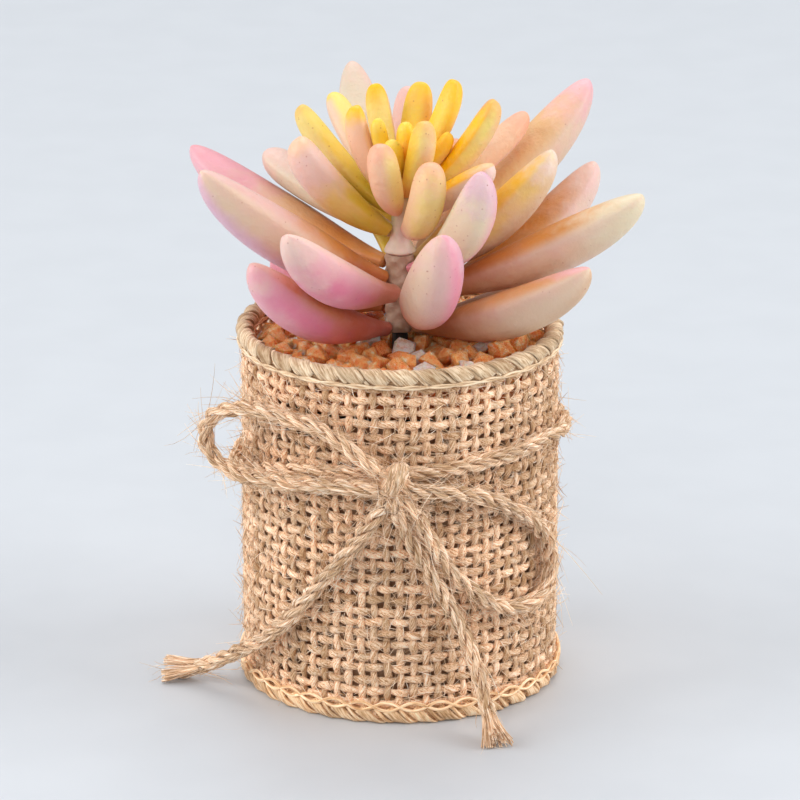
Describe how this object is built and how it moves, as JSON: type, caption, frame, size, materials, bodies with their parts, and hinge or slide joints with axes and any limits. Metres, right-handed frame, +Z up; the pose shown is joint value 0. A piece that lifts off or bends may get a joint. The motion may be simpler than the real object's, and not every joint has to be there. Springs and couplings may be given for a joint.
{
  "type": "potted artificial succulent",
  "caption": "Small artificial sedum with a pink lower rosette and a yellow crown, in gravel in a burlap-wrapped round pot tied with a twine bow.",
  "frame": {"origin": "centre of the pot's flat underside, on the surface it stands on", "axes": "+Z up along the stem; the twine bow is on the -Y side; +X is to the right of the bow as seen from the front"},
  "size_m": [0.0904, 0.0815, 0.1154],
  "materials": {
    "pot_plastic": "matt moulded plastic, seen through the open weave",
    "foam": "dry floral foam",
    "gravel": "crushed orange gravel glued into a crust",
    "burlap": "open plain-weave jute",
    "edging_yarn": "overlocked cotton and jute yarn",
    "peg": "black moulded peg",
    "stem": "soft plastic, olive to brown",
    "lower_leaf": "soft plastic, pink to orange with a dusty bloom",
    "upper_leaf": "soft plastic, yellow with peach faces",
    "jute_twine": "hairy two-ply jute"
  },
  "bodies": {
    "root": {"inner_pot": "pot_plastic", "foam_plug": "foam", "gravel_bed": "gravel", "burlap_wrap": "burlap", "top_edging": "edging_yarn", "bottom_edging": "edging_yarn", "stem_peg": "peg", "lower_stem": "stem", "upper_stem": "stem", "lower_leaf_01": "lower_leaf", "lower_leaf_02": "lower_leaf", "lower_leaf_03": "lower_leaf", "lower_leaf_04": "lower_leaf", "lower_leaf_05": "lower_leaf", "lower_leaf_06": "lower_leaf", "lower_leaf_07": "lower_leaf", "lower_leaf_08": "lower_leaf", "lower_leaf_09": "lower_leaf", "lower_leaf_10": "lower_leaf", "lower_leaf_11": "lower_leaf", "lower_leaf_12": "lower_leaf", "lower_leaf_13": "lower_leaf", "lower_leaf_14": "lower_leaf", "lower_leaf_15": "lower_leaf", "lower_leaf_16": "lower_leaf", "lower_leaf_17": "lower_leaf", "upper_leaf_01": "upper_leaf", "upper_leaf_02": "upper_leaf", "upper_leaf_03": "upper_leaf", "upper_leaf_04": "upper_leaf", "upper_leaf_05": "upper_leaf", "upper_leaf_06": "upper_leaf", "upper_leaf_07": "upper_leaf", "upper_leaf_08": "upper_leaf", "upper_leaf_09": "upper_leaf", "upper_leaf_10": "upper_leaf", "upper_leaf_11": "upper_leaf", "upper_leaf_12": "upper_leaf", "upper_leaf_13": "upper_leaf", "upper_leaf_14": "upper_leaf", "upper_leaf_15": "upper_leaf", "upper_leaf_16": "upper_leaf", "upper_leaf_17": "upper_leaf", "upper_leaf_18": "upper_leaf", "upper_leaf_19": "upper_leaf", "upper_leaf_20": "upper_leaf", "twine_wrap": "jute_twine", "bow_knot": "jute_twine", "bow_loop_left": "jute_twine", "bow_loop_right": "jute_twine", "twine_tail_left": "jute_twine", "twine_tail_right": "jute_twine"}
  },
  "joints": []
}
